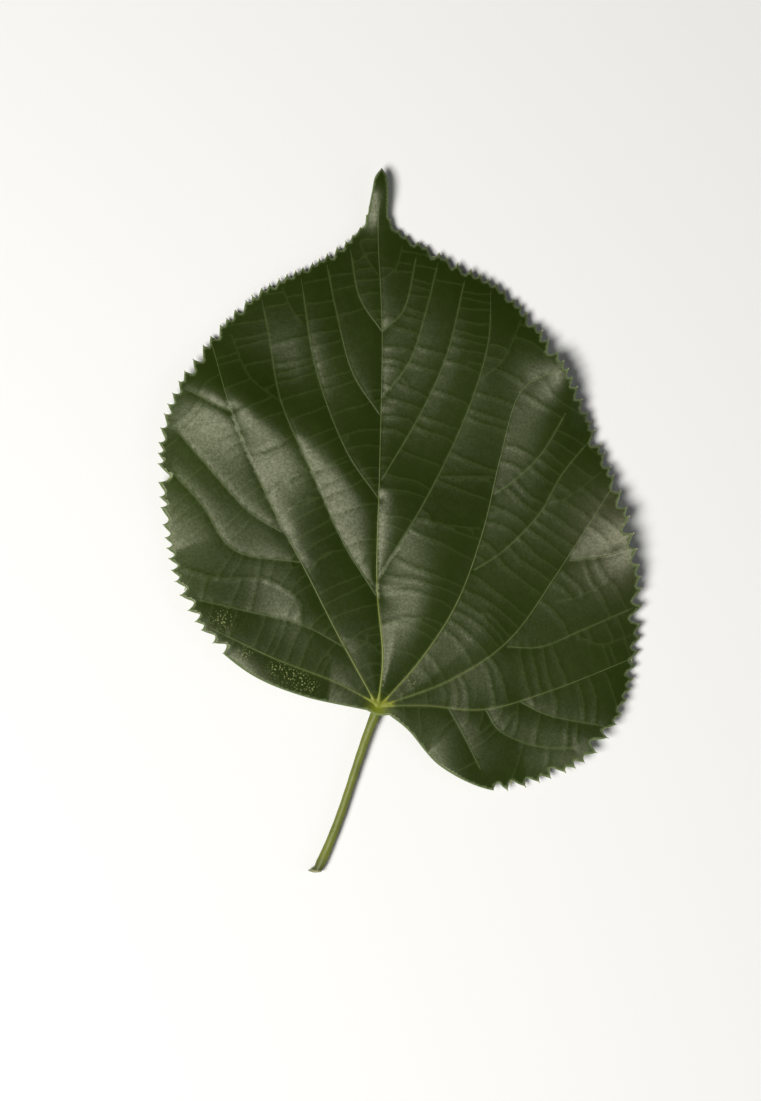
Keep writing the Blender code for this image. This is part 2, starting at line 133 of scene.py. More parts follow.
# Blade: lifted off the ground, rolled down at the rim and sunk along its veins
blade = {
    "solidThickness": 1.35,   # of the part's blade
    "thickness": 0.32,
    "below": 0.9,             # of the visible upper face below the solid's
    "lift": 2.5,
    "rimRoll": 6.5,
    "knotHold": 17.0,
    "meshStep": 0.46,
    "lineStep": 0.6,          # between the mesh's points on a vein
    "lineGap": 0.3,           # from a vein's points to the others
    "rimGap": 1.3,
    # depth and half-width of the valley along the finest veins. Below zero they stand up
    "minorValley": (-0.07, 0.35),
    "rungValley": (-0.07, 0.3),
    "fineFade": (3.0, 0.25, 0.7),   # reach from the rim, least share there, share lost at the knot
    # depth of the valley at the root and tip of each vein, and its half-width, in the veins' order
    "mainValleys": ((0.6, 0.5, 1.6), (0.1, 0.5, 1.6), (0.9, 0.3, 3.6), (0.5, 0.4, 2.6), (0.2, 0.2, 2.0),
                    (0.6, 0.4, 3.0)),
    "sideValleys": ((0.7, 0.3, 2.4), (0.4, 0.25, 1.6), (0.3, 0.2, 1.4), (0.3, 0.2, 1.4), (0.9, 0.2, 2.4),
                    (0.4, 0.25, 1.6), (0.3, 0.2, 1.4), (0.3, 0.2, 1.4), (0.5, 0.5, 1.6), (0.2, 0.25, 1.4),
                    (0.2, 0.2, 1.2), (0.15, 0.2, 1.2), (0.3, 0.3, 1.6), (0.25, 0.25, 1.6), (0.3, 0.3, 1.8),
                    (0.4, 0.4, 2.0), (0.3, 0.3, 1.8), (0.3, 0.3, 1.8), (0.25, 0.25, 1.8)),
    "raised": [  # places on the rim that stay up: centre, reach
        (50.0, 33.0, 15.0),
        (44.0, -8.0, 14.0),
        (-41.0, 44.0, 17.0),
        (-33.0, 20.0, 13.0),
        (-17.0, 3.0, 14.0),
        (16.0, -13.0, 10.0),
        (35.0, 65.0, 8.0),
        (1.0, 98.0, 6.0),
    ],
    "swells": [  # centre x and y, half-lengths along and across, turn of the long way, rise
        (-25.0, 56.5, 16.0, 6.5, -28.0, 2.3),
        (-8.0, 45.5, 13.0, 8.0, -42.0, 1.3),
        (4.0, 38.0, 12.0, 8.0, -40.0, 0.8),
        (-12.0, 71.0, 12.0, 8.0, 105.0, 1.0),
        (17.0, 75.0, 15.0, 12.0, 80.0, 1.2),
        (10.0, 21.0, 12.0, 6.0, 70.0, 1.2),
        (21.0, 14.0, 7.0, 9.0, 0.0, 0.6),
        (-27.0, 9.0, 12.0, 8.0, -20.0, 1.7),
        (-14.0, 19.0, 9.0, 6.0, 115.0, 0.8),
        (-15.5, 35.0, 10.0, 6.0, 115.0, 0.5),
        (32.5, 54.0, 14.0, 7.0, 75.0, 1.0),
        (55.0, 36.0, 14.0, 13.0, 90.0, 3.5),
        (44.0, -4.0, 10.0, 14.0, 90.0, 0.3),
        (40.0, 67.0, 12.0, 9.0, 60.0, 2.3),
    ],
}

knotCentre = np.array((0.2, 0.6))


def smoothLine(points, step):
    knots = np.array(points, float)
    knots = np.vstack([2 * knots[0] - knots[1], knots, 2 * knots[-1] - knots[-2]])
    fine = []
    for before, start, end, after in zip(knots, knots[1:], knots[2:], knots[3:]):
        for t in np.linspace(0.0, 1.0, 20, endpoint=False):
            cubic = 3 * start - before - 3 * end + after
            square = 2 * before - 5 * start + 4 * end - after
            fine.append(0.5 * (2 * start + (end - before) * t + square * t * t + cubic * t ** 3))
    fine.append(knots[-2])
    return evenly(np.array(fine), step)


def lengths(line):
    return np.concatenate([[0.0], np.cumsum(np.linalg.norm(np.diff(line, axis=0), axis=1))])


def evenly(line, step):
    along = lengths(line)
    stations = np.linspace(0.0, along[-1], max(2, round(along[-1] / step)) + 1)
    return np.column_stack([np.interp(stations, along, line[:, axis]) for axis in range(line.shape[1])])


def nearestOn(points, line):
    # Distance from each point to the line, and the share of the line up to the nearest place on it
    points = np.atleast_2d(points)
    nearest = np.full(len(points), np.inf)
    share = np.zeros(len(points))
    for i, (start, end) in enumerate(zip(line[:-1], line[1:])):
        run = end - start
        along = np.clip((points - start) @ run / (run @ run), 0.0, 1.0)
        away = np.linalg.norm(points - start - along[:, None] * run, axis=1)
        share = np.where(away < nearest, (i + along) / (len(line) - 1), share)
        nearest = np.minimum(nearest, away)
    return nearest, share


def distance(points, line):
    return nearestOn(points, line)[0]


# Margin

def toothedSide(points, toothedFrom, seed):
    line = smoothLine(points, teeth["lineStep"])
    # the second term picks the place nearer the knot where the side has the same x twice
    start = int(np.argmin(np.abs(line[:, 0] - toothedFrom) + 0.02 * np.abs(line[:, 1])))
    end = int(np.argmax(line[:, 1] > teeth["upTo"]))
    lean = np.gradient(line, axis=0)
    inward = np.column_stack([-lean[:, 1], lean[:, 0]]) / np.linalg.norm(lean, axis=1)[:, None]
    inward *= 1.0 if points[1][0] > 0 else -1.0
    chance = random.Random(seed)
    outline = [line[i] for i in range(0, start, 3)]
    tips = []
    at = start
    while at < end:
        done = (at - start) / (end - start)
        pitch = teeth["pitchLow"] + (teeth["pitchHigh"] - teeth["pitchLow"]) * done
        pitch *= 1.0 + teeth["jitter"] * chance.uniform(-1.0, 1.0)
        uneven = 1.0 + teeth["uneven"] * chance.uniform(-1.0, 1.0)
        depth = teeth["depth"] * pitch / teeth["pitchLow"] * uneven
        reach, least = teeth["fade"]
        depth *= min(1.0, max(least, (teeth["upTo"] - line[at][1]) / reach))
        step = pitch / teeth["lineStep"]
        outline.append(line[at])
        tips.append((line[at], inward[at]))
        for share, deep in teeth["profile"]:
            place = min(at + share * step, len(line) - 1.01)
            low = int(place)
            spot = line[low] + (line[low + 1] - line[low]) * (place - low)
            outline.append(spot + inward[low] * depth * deep)
        at = int(at + step)
    outline.extend(line[i] for i in range(min(at, len(line) - 4), len(line) - 1, 2))
    outline.append(line[-1])
    return outline, tips


rightSide, rightTips = toothedSide(margin["right"], teeth["rightFrom"], teeth["seed"])
leftSide, leftTips = toothedSide(margin["left"], teeth["leftFrom"], teeth["seed"] + 1)
outline = np.array(rightSide + leftSide[:-1][::-1] + [np.array(point) for point in margin["throat"]])
rightRim = smoothLine(margin["right"], 2.0)
rim = np.vstack([rightRim, smoothLine(margin["left"], 2.0)[-2::-1], rightRim[0]])

# The plan's place in the frame, from the part's own blade
bladeLow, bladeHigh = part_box("blade")
shift = np.array([bladeLow.x / mm - outline[:, 0].min(), bladeHigh.y / mm - outline[:, 1].max()])
shift3 = np.array([*shift, 0.0])
print("margin:", len(rightTips) + len(leftTips), "teeth; knot at", shift.round(2))


# Veins in plan

veinStep = 0.3


def trimmed(line, inset):
    close = np.flatnonzero(distance(line, rim) < inset)
    close = close[close > len(line) // 2]
    return line[: close[0]] if len(close) else line


mainPaths = [points for _, points in mainVeins.values()]
mainLines = [trimmed(smoothLine(points, veinStep), 1.6) for points in mainPaths]
sideLines = [trimmed(smoothLine(points, veinStep), 1.7) for points in sideVeins]
minorLines = [trimmed(smoothLine(points, veinStep), 1.8) for points in minorVeins]

rungs = {
    "spacing": 2.4,        # between rungs on the vein that carries them
    "step": 0.5,
    "apart": 1.15,         # closer than this to another rung, a rung joins it
    "longest": 15.0,
    "wander": 0.22,        # turn of a rung from one step to the next, in radians
    "steady": 0.45,        # share of the last step's direction that a rung keeps
    "fieldStep": 1.5,
    "fieldReach": 2.0,     # past the outline
    "cell": 1.2,           # of the grid that finds rungs close by
    "rimGap": 0.9,
    "carrierGap": 0.55,    # closer than this to a vein, a rung joins it
    "leave": 3.0,          # length after which that may be the vein it starts on
    "seed": 5,
}


def veinField(lines):
    # Direction of the veins round each place, as the doubled angle's cosine and sine on a coarse grid.
    places = np.vstack([line[1:-1:3] for line in lines])
    leans = np.vstack([(line[2:] - line[:-2])[::3] for line in lines])
    angle = 2 * np.arctan2(leans[:, 1], leans[:, 0])
    low = outline.min(axis=0) - rungs["fieldReach"]
    size = np.ceil((outline.max(axis=0) + rungs["fieldReach"] - low) / rungs["fieldStep"]).astype(int) + 1
    xs = low[0] + rungs["fieldStep"] * np.arange(size[0])
    ys = low[1] + rungs["fieldStep"] * np.arange(size[1])
    grid = np.stack(np.meshgrid(xs, ys, indexing="ij"), axis=-1).reshape(-1, 2)
    apart = np.linalg.norm(grid[:, None, :] - places[None, :, :], axis=2)
    weight = 1.0 / (apart ** 2 + 1.0) ** 1.3
    field = np.column_stack([weight @ np.cos(angle), weight @ np.sin(angle)])
    return low, field.reshape(size[0], size[1], 2)


def traceRungs(carriers, seeds, chance):
    # Rungs run square to the field from the veins that carry them to the next vein, rung or the rim.
    low, field = veinField(mainLines + sideLines)
    last = np.array(field.shape[:2]) - 1
    cell = rungs["cell"]
    taken = {}
    carrierTree = kdtree.KDTree(sum(len(line) for line in carriers))
    owner = []
    for number, line in enumerate(carriers):
        for point in line:
            carrierTree.insert((point[0], point[1], 0.0), len(owner))
            owner.append(number)
    carrierTree.balance()
    rimTree = kdtree.KDTree(len(rimFine))
    for i, point in enumerate(rimFine):
        rimTree.insert((point[0], point[1], 0.0), i)
    rimTree.balance()
    made = []
    for number, spot, side in seeds:
        place = np.array(spot)
        run = [place.copy()]
        heading = np.array(side)
        travelled = 0.0
        joined = False
        while travelled < rungs["longest"]:
            i = np.clip(((place - low) / rungs["fieldStep"]).round().astype(int), 0, last)
            along = 0.5 * math.atan2(field[i[0], i[1], 1], field[i[0], i[1], 0]) + math.pi / 2
            along += rungs["wander"] * chance.uniform(-1.0, 1.0)
            turn = np.array([math.cos(along), math.sin(along)])
            if turn @ heading < 0:
                turn = -turn
            heading = turn if travelled == 0 else heading * rungs["steady"] + turn * (1.0 - rungs["steady"])
            heading /= np.linalg.norm(heading)
            place = place + heading * rungs["step"]
            travelled += rungs["step"]
            spot3 = (place[0], place[1], 0.0)
            if rimTree.find(spot3)[2] < rungs["rimGap"]:
                break
            nearest, index, gap = carrierTree.find(spot3)
            if gap < rungs["carrierGap"] and (owner[index] != number or travelled > rungs["leave"]):
                run.append(np.array(nearest[:2]))
                joined = True
                break
            key = (int(place[0] // cell), int(place[1] // cell))
            close = None
            for dx in (-1, 0, 1):
                for dy in (-1, 0, 1):
                    for other in taken.get((key[0] + dx, key[1] + dy), ()):
                        away = math.hypot(other[0] - place[0], other[1] - place[1])
                        if away < rungs["apart"] and (close is None or away < close[0]):
                            close = (away, other)
            if close:
                run.append(np.array(close[1]))
                joined = True
                break
            run.append(place)
        if len(run) < 3 or lengths(np.array(run))[-1] < rungs["apart"]:
            continue
        if joined and np.linalg.norm(run[-1] - run[-2]) < 0.2:
            run.pop(-2)
        made.append(np.array(run))
        for point in run[1:]:
            taken.setdefault((int(point[0] // cell), int(point[1] // cell)), []).append((point[0], point[1]))
    return made


def seedsAlong(lines, chance):
    seeds = []
    for number, line in enumerate(lines):
        along = lengths(line)
        at = rungs["spacing"]
        while at < along[-1] - 0.6:
            i = min(int(np.searchsorted(along, at)), len(line) - 2)
            lean = line[i + 1] - line[i]
            lean = lean / np.linalg.norm(lean)
            for sign in (-1.0, 1.0):
                seeds.append((number, tuple(line[i]), (-lean[1] * sign, lean[0] * sign)))
            at += rungs["spacing"] * chance.uniform(0.75, 1.25)
    chance.shuffle(seeds)
    return seeds


rimFine = evenly(rim, 0.4)
chance = random.Random(rungs["seed"])
carriers = mainLines + sideLines + minorLines
rungLines = traceRungs(carriers, seedsAlong(carriers, chance), chance)
print("rungs:", len(rungLines), "length", round(sum(lengths(line)[-1] for line in rungLines)), "mm")


# Height of the upper face

def reliefTree(lines, step):
    spots = np.vstack([evenly(line, step) for line in lines if len(line) > 1])
    tree = kdtree.KDTree(len(spots))
    for i, spot in enumerate(spots):
        tree.insert((spot[0], spot[1], 0.0), i)
    tree.balance()
    return tree


def treeDistance(points, tree):
    return np.array([tree.find((x, y, 0.0))[2] for x, y in points])


def thinned(paths, count):
    lines = [trimmed(smoothLine(points, veinStep), 2.6) for points in paths]
    return [line[:: len(line) // count or 1] for line in lines]


coarse = {"main": thinned(mainPaths, 24), "side": thinned(sideVeins, 14)}
minorTree = reliefTree(minorLines, 0.12)
rungTree = reliefTree(rungLines, 0.1)


def upperFace(points, fineRelief=True):
    points = np.atleast_2d(points)
    nearKnot = np.exp(-np.sum((points - knotCentre) ** 2, axis=1) / blade["knotHold"] ** 2)
    flat = nearKnot
    for x, y, reach in blade["raised"]:
        flat = np.maximum(flat, np.exp(-((points[:, 0] - x) ** 2 + (points[:, 1] - y) ** 2) / reach ** 2))
    fromRim = distance(points, rim)
    roll = 1.0 - np.exp(-fromRim / blade["rimRoll"]) * (1.0 - flat)
    height = blade["solidThickness"] + blade["lift"] * roll
    for x, y, along, across, turn, rise in blade["swells"]:
        turn = math.radians(turn)
        u = (points[:, 0] - x) * math.cos(turn) + (points[:, 1] - y) * math.sin(turn)
        v = (points[:, 1] - y) * math.cos(turn) - (points[:, 0] - x) * math.sin(turn)
        height += rise * np.exp(-(u / along) ** 2 - (v / across) ** 2)
    near = {}
    for kind in ("main", "side"):
        sunk = np.zeros(len(points))
        near[kind] = np.full(len(points), np.inf)
        for line, (root, tip, width) in zip(coarse[kind], blade[kind + "Valleys"]):
            away, share = nearestOn(points, line)
            near[kind] = np.minimum(near[kind], away)
            sunk = np.maximum(sunk, (root + (tip - root) * share) * np.exp(-away / width))
        height -= roll * sunk
    near["minor"] = treeDistance(points, minorTree)
    near["rung"] = treeDistance(points, rungTree)
    if fineRelief:
        reach, least, held = blade["fineFade"]
        fade = roll * np.clip(fromRim / reach, least, 1.0) * (1.0 - held * nearKnot)
        for kind in ("minor", "rung"):
            depth, width = blade[kind + "Valley"]
            height -= depth * fade * np.exp(-near[kind] / width)
    return height, near


# Materials

def nodeMaterial(name):
    made = bpy.data.materials.new(name)
    made.use_nodes = True
    tree = made.node_tree
    shader = tree.nodes["Principled BSDF"]
    return made, tree, shader


def mixColour(tree, factor, first, second):
    mix = tree.nodes.new("ShaderNodeMix")
    mix.data_type = "RGBA"
    for socket, value in ((mix.inputs[0], factor), (mix.inputs[6], first), (mix.inputs[7], second)):
        if isinstance(value, bpy.types.NodeSocket):
            tree.links.new(value, socket)
        else:
            socket.default_value = value if isinstance(value, float) else (*value, 1.0)
    return mix.outputs[2]


def ramp(tree, source, low, high, outLow=0.0, outHigh=1.0):
    node = tree.nodes.new("ShaderNodeMapRange")
    node.interpolation_type = "SMOOTHSTEP"
    tree.links.new(source, node.inputs[0])
    for index, value in ((1, low), (2, high), (3, outLow), (4, outHigh)):
        node.inputs[index].default_value = value
    return node.outputs[0]


def product(tree, first, second):
    node = tree.nodes.new("ShaderNodeMath")
    node.operation = "MULTIPLY"
    for socket, value in ((node.inputs[0], first), (node.inputs[1], second)):
        if isinstance(value, bpy.types.NodeSocket):
            tree.links.new(value, socket)
        else:
            socket.default_value = value
    return node.outputs[0]


def noise(tree, scale, detail=3.0, roughness=0.55):
    place = tree.nodes.new("ShaderNodeTexCoord")
    node = tree.nodes.new("ShaderNodeTexNoise")
    tree.links.new(place.outputs["Object"], node.inputs["Vector"])
    node.inputs["Scale"].default_value = scale
    node.inputs["Detail"].default_value = detail
    node.inputs["Roughness"].default_value = roughness
    return node.outputs[0]


def noiseAlong(tree, name, scale, detail):
    place = tree.nodes.new("ShaderNodeAttribute")
    place.attribute_name = name
    node = tree.nodes.new("ShaderNodeTexNoise")
    tree.links.new(place.outputs["Vector"], node.inputs["Vector"])
    node.inputs["Scale"].default_value = scale
    node.inputs["Detail"].default_value = detail
    return node.outputs[0]


def cells(tree, scale, feature="DISTANCE_TO_EDGE"):
    place = tree.nodes.new("ShaderNodeTexCoord")
    node = tree.nodes.new("ShaderNodeTexVoronoi")
    node.feature = feature
    tree.links.new(place.outputs["Object"], node.inputs["Vector"])
    node.inputs["Scale"].default_value = scale
    return node.outputs["Distance"]


def mask(tree, name):
    node = tree.nodes.new("ShaderNodeAttribute")
    node.attribute_name = name
    return node.outputs["Fac"]


def bumps(tree, shader, layers):
    last = None
    for source, depth in layers:
        node = tree.nodes.new("ShaderNodeBump")
        node.inputs["Strength"].default_value = 1.0
        node.inputs["Distance"].default_value = depth
        tree.links.new(source, node.inputs["Height"])
        if last:
            tree.links.new(last, node.inputs["Normal"])
        last = node.outputs["Normal"]
    tree.links.new(last, shader.inputs["Normal"])


upperLook = {
    "dark": (0.0122, 0.0218, 0.0016),
    "mid": (0.0155, 0.0265, 0.0028),
    # used by the random mottle, and as painted light that lightens the left margin
    "mottleAndLitMargin": (0.040, 0.066, 0.007),
    "veinMain": (0.085, 0.105, 0.022),
    "veinSide": (0.050, 0.070, 0.016),
    "veinFine": (0.036, 0.054, 0.013),
    "rim": (0.19, 0.24, 0.11),
    "speck": (0.24, 0.26, 0.10),
    "roughness": (0.33, 0.38),
    "sheen": (1.0, 1.0, 0.74),     # tint of the highlights
    "hub": (0.125, 0.150, 0.010),
    # brownish tint of a painted reflection on the right of the blade
    "paintedReflection": (0.036, 0.031, 0.014),
    "gloss": (0.16, 0.26),
}


def upperMaterial():
    made, tree, shader = nodeMaterial("leafUpper")
    look = upperLook
    broad = ramp(tree, noise(tree, 45.0, 2.0), 0.35, 0.65)
    colour = mixColour(tree, broad, look["dark"], look["mid"])
    mottle = ramp(tree, noise(tree, 420.0, 4.0), 0.45, 0.75)
    colour = mixColour(tree, product(tree, mottle, 0.07), colour, look["mottleAndLitMargin"])
    for name, strength in (("veinFine", 0.4), ("veinSide", 0.5), ("veinMain", 0.5)):
        line = ramp(tree, mask(tree, name), 0.3, 1.0)
        colour = mixColour(tree, product(tree, line, strength), colour, look[name])
    # painted light: the left margin lighter, as if it faced the key light
    colour = mixColour(tree, product(tree, mask(tree, "mottleAndLitMargin"), 0.2), colour, look["mottleAndLitMargin"])
    # painted reflection: a brownish patch on the right, where the sheen lies
    colour = mixColour(tree, product(tree, mask(tree, "paintedReflection"), 0.5), colour, look["paintedReflection"])
    colour = mixColour(tree, mask(tree, "hub"), colour, look["hub"])
    colour = mixColour(tree, mask(tree, "rim"), colour, look["rim"])
    dots = ramp(tree, cells(tree, 2300.0, "F1"), 0.40, 0.22)
    colour = mixColour(tree, product(tree, dots, mask(tree, "speck")), colour, look["speck"])
    tree.links.new(colour, shader.inputs["Base Color"])
    rough = ramp(tree, noise(tree, 900.0, 3.0), 0.3, 0.7, *look["roughness"])
    tree.links.new(rough, shader.inputs["Roughness"])
    gloss = ramp(tree, noise(tree, 2300.0, 2.0), 0.3, 0.7, *look["gloss"])
    tree.links.new(gloss, shader.inputs["Specular IOR Level"])
    shader.inputs["Specular Tint"].default_value = (*look["sheen"], 1.0)
    ripple = noiseAlong(tree, "ripple", 1.0, 3.0)
    bumps(tree, shader, [(ripple, 0.000010), (noise(tree, 1900.0, 3.0), 0.000012)])
    return made


underLook = {
    "deep": (0.115, 0.150, 0.062),
    "pale": (0.145, 0.185, 0.080),
    "net": (0.20, 0.24, 0.11),
    "roughness": 0.72,
}


def underMaterial():
    made, tree, shader = nodeMaterial("leafUnder")
    look = underLook
    broad = ramp(tree, noise(tree, 60.0, 3.0), 0.3, 0.7)
    colour = mixColour(tree, broad, look["deep"], look["pale"])
    net = ramp(tree, cells(tree, 1250.0), 0.25, 0.0)
    colour = mixColour(tree, product(tree, net, 0.5), colour, look["net"])
    tree.links.new(colour, shader.inputs["Base Color"])
    shader.inputs["Roughness"].default_value = look["roughness"]
    bumps(tree, shader, [(net, 0.00008), (noise(tree, 2000.0, 4.0), 0.00004)])
    return made


def veinMaterial(name, pale, deep, roughness, hub=None):
    # hub: colour near the knot, where the veins are thickest
    made, tree, shader = nodeMaterial(name)
    spread = ramp(tree, noise(tree, 260.0, 3.0), 0.3, 0.7)
    colour = mixColour(tree, spread, pale, deep)
    if hub:
        colour = mixColour(tree, ramp(tree, mask(tree, "girth"), 0.00012, 0.00024), colour, hub)
    tree.links.new(colour, shader.inputs["Base Color"])
    shader.inputs["Roughness"].default_value = roughness
    shader.inputs["Specular IOR Level"].default_value = 0.3
    bumps(tree, shader, [(noise(tree, 1500.0, 3.0), 0.00005)])
    return made


# Blade

def bladeSheet():
    plan = [Vector(point) for point in outline]
    edges = []
    fixed = [evenly(np.vstack([outline, outline[0]]), 0.2)]
    for group in (mainLines, sideLines, minorLines, rungLines):
        earlier = reliefTree(fixed, 0.2)
        for line in group:
            # places close to other lines are left out, as they would leave sliver faces
            stations = evenly(line, blade["lineStep"])[1:-1]
            if len(stations):
                clear = treeDistance(stations, earlier) > blade["lineGap"]
                stations = stations[(distance(stations, rim) > blade["rimGap"]) & clear]
            if len(stations) < 2:
                continue
            first = len(plan)
            plan.extend(Vector(point) for point in stations)
            edges.extend((first + i, first + i + 1) for i in range(len(stations) - 1))
            fixed.append(evenly(stations, 0.2))
    rise = blade["meshStep"] * math.sin(math.radians(60))
    low = outline.min(axis=0)
    high = outline.max(axis=0)
    grid = []
    for row in range(int((high[1] - low[1]) / rise) + 1):
        offset = (row % 2) * blade["meshStep"] / 2
        for x in np.arange(low[0] + offset, high[0], blade["meshStep"]):
            grid.append((x, low[1] + row * rise))
    fixedTree = reliefTree(fixed, 0.2)
    free = treeDistance(grid, fixedTree) > blade["lineGap"]
    plan.extend(Vector(point) for point, ok in zip(grid, free) if ok)
    verts, _, faces, _, _, inside = delaunay_2d_cdt(plan, edges, [list(range(len(outline)))], 0, 0.0005)
    faces = [face for face, holders in zip(faces, inside) if holders]
    used = sorted({index for face in faces for index in face})
    renumber = {index: i for i, index in enumerate(used)}
    places = np.array([tuple(verts[index]) for index in used])
    faces = [[renumber[index] for index in face] for face in faces]
    return places, faces


def floatAttribute(mesh, name, values):
    layer = mesh.attributes.new(name, "FLOAT", "POINT")
    layer.data.foreach_set("value", np.asarray(values, np.float32))


def frameZ(height):
    return height - topDrop


places, faces = bladeSheet()
heights, near = upperFace(places)
coarsePlaces = places[::7]
solidTop = upperFace(coarsePlaces, fineRelief=False)[0].max()
topDrop = solidTop - bladeHigh.z / mm + blade["below"]
print("blade sheet:", len(places), "points,", len(faces), "faces; top of the solid", round(solidTop, 2))


# Painted places on the upper face
paint = {
    # half-widths along the veins and the rim
    "veinMain": 0.4,
    "veinSide": 0.3,
    "veinFine": 0.22,
    "rim": 0.22,
    # centre x and y, reach along x and y: yellow where the stalk meets the blade, a brownish painted
    # reflection on the right, painted light on the left margin, which is lighter as if it faced the key
    # light
    "hub": (0.1, -0.5, 1.9, 1.9),
    # painted reflection, brownish, on the right
    "paintedReflection": (45.0, 32.0, 8.0, 10.0),
    # painted light on the left margin
    "mottleAndLitMargin": (-38.0, 36.0, 9.0, 24.0),
    "specks": [  # pale dots left by sap feeders: centre x and y, reach, amount
        (-18.8, 7.4, 1.4, 0.9),
        (-16.5, 6.2, 1.5, 0.9),
        (-14.2, 5.0, 1.5, 0.9),
        (-12.2, 4.1, 1.1, 0.8),
        (-24.8, 10.2, 1.2, 0.7),
        (-29.0, 16.6, 1.9, 0.7),
        (6.8, 5.2, 1.4, 0.5),
    ],
}


def patch(x, y, reachX, reachY):
    return np.exp(-((places[:, 0] - x) / reachX) ** 2 - ((places[:, 1] - y) / reachY) ** 2)


def addBlade():
    mesh = bpy.data.meshes.new("blade")
    spots = np.column_stack([places + shift, frameZ(heights)]) * mm
    mesh.from_pydata(spots.tolist(), [], faces)
    spread = places - knotCentre
    fromKnot = np.linalg.norm(spread, axis=1)
    fade = np.clip(1.2 - fromKnot / 60, 0.15, 1.0)
    floatAttribute(mesh, "veinMain", np.exp(-(near["main"] / paint["veinMain"]) ** 2) * fade)
    floatAttribute(mesh, "veinSide", np.exp(-(near["side"] / paint["veinSide"]) ** 2))
    finest = np.minimum(near["rung"], near["minor"])
    floatAttribute(mesh, "veinFine", np.exp(-(finest / paint["veinFine"]) ** 2))
    edge = distance(places, np.vstack([outline, outline[0]]))
    floatAttribute(mesh, "rim", np.exp(-(edge / paint["rim"]) ** 2) * 0.8)
    # hub colour, the painted reflection on the right and the painted light on the left margin
    for name in ("hub", "paintedReflection", "mottleAndLitMargin"):
        floatAttribute(mesh, name, patch(*paint[name]))
    specks = [amount * patch(x, y, reach, reach) for x, y, reach, amount in paint["specks"]]
    floatAttribute(mesh, "speck", np.max(specks, axis=0))
    turn = np.arctan2(spread[:, 0], spread[:, 1] + 30.0)
    ripple = np.column_stack([fromKnot * 1.1, turn * 36.0, np.zeros(len(places))])
    layer = mesh.attributes.new("ripple", "FLOAT_VECTOR", "POINT")
    layer.data.foreach_set("vector", ripple.astype(np.float32).ravel())
    mesh.materials.append(upperMaterial())
    mesh.materials.append(underMaterial())
    mesh.shade_smooth()
    sheet = bpy.data.objects.new("leafBlade", mesh)
    bpy.context.collection.objects.link(sheet)
    shell = sheet.modifiers.new("thickness", "SOLIDIFY")
    shell.thickness = blade["thickness"] * mm
    shell.offset = -1.0
    shell.material_offset = 1
    return applied(sheet)


def applied(piece):
    bpy.context.view_layer.update()
    graph = bpy.context.evaluated_depsgraph_get()
    mesh = bpy.data.meshes.new_from_object(piece.evaluated_get(graph))
    piece.modifiers.clear()
    piece.data = mesh
    return piece


bladePiece = addBlade()
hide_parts("blade")
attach(bladePiece, "root")
print("blade:", len(bladePiece.data.polygons), "faces")


# Veins as Geometry Nodes tubes that follow their lines, and what the gland tips share with them

def growTree(name, inputName, settings, outputName, material):
    # Node group with named settings, which ends in Realize Instances and Set Material
    tree = bpy.data.node_groups.new(name, "GeometryNodeTree")
    tree.interface.new_socket(inputName, in_out="INPUT", socket_type="NodeSocketGeometry")
    keys = []
    for label, kind in settings:
        socket = tree.interface.new_socket(label, in_out="INPUT", socket_type=kind)
        keys.append(socket.identifier)
    tree.interface.new_socket(outputName, in_out="OUTPUT", socket_type="NodeSocketGeometry")
    start = tree.nodes.new("NodeGroupInput")
    smoothShade = tree.nodes.new("GeometryNodeSetShadeSmooth")
    real = tree.nodes.new("GeometryNodeRealizeInstances")
    paintNode = tree.nodes.new("GeometryNodeSetMaterial")
    paintNode.inputs["Material"].default_value = material
    end = tree.nodes.new("NodeGroupOutput")
    tree.links.new(smoothShade.outputs["Geometry"], real.inputs["Geometry"])
    tree.links.new(real.outputs["Geometry"], paintNode.inputs["Geometry"])
    tree.links.new(paintNode.outputs["Geometry"], end.inputs[outputName])
    return tree, start, smoothShade.inputs["Geometry"], keys


def grow(name, mesh, tree, values):
    piece = bpy.data.objects.new(name, mesh)
    bpy.context.collection.objects.link(piece)
    maker = piece.modifiers.new("grow", "NODES")
    maker.node_group = tree
    for key, value in values:
        maker[key] = value
    applied(piece)
    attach(piece, "root")
    print(name + ":", len(piece.data.polygons), "faces")
    return piece


def veinTree(material):
    settings = [("Sides", "NodeSocketInt")]
    tree, start, result, keys = growTree("veinTubes", "Lines", settings, "Tubes", material)
    toCurve = tree.nodes.new("GeometryNodeMeshToCurve")
    girth = tree.nodes.new("GeometryNodeInputNamedAttribute")
    girth.data_type = "FLOAT"
    girth.inputs["Name"].default_value = "girth"
    circle = tree.nodes.new("GeometryNodeCurvePrimitiveCircle")
    circle.inputs["Radius"].default_value = 1.0
    tube = tree.nodes.new("GeometryNodeCurveToMesh")
    tube.inputs["Fill Caps"].default_value = True
    link = tree.links.new
    link(start.outputs["Lines"], toCurve.inputs["Mesh"])
    link(start.outputs["Sides"], circle.inputs["Resolution"])
    link(toCurve.outputs["Curve"], tube.inputs["Curve"])
    link(girth.outputs["Attribute"], tube.inputs["Scale"])
    link(circle.outputs["Curve"], tube.inputs["Profile Curve"])
    link(tube.outputs["Mesh"], result)
    return tree, keys


def addVeins(name, runs, material, sides):
    # runs: points in millimetres in the plan with their height, and the radius at each
    spots = np.vstack([points for points, _ in runs])
    girths = np.concatenate([radii for _, radii in runs])
    links = []
    first = 0
    for points, _ in runs:
        links.extend((first + i, first + i + 1) for i in range(len(points) - 1))
        first += len(points)
    mesh = bpy.data.meshes.new(name)
    mesh.from_pydata(((spots + shift3) * mm).tolist(), links, [])
    floatAttribute(mesh, "girth", girths * mm)
    tree, keys = veinTree(material)
    return grow(name, mesh, tree, zip(keys, [sides]))


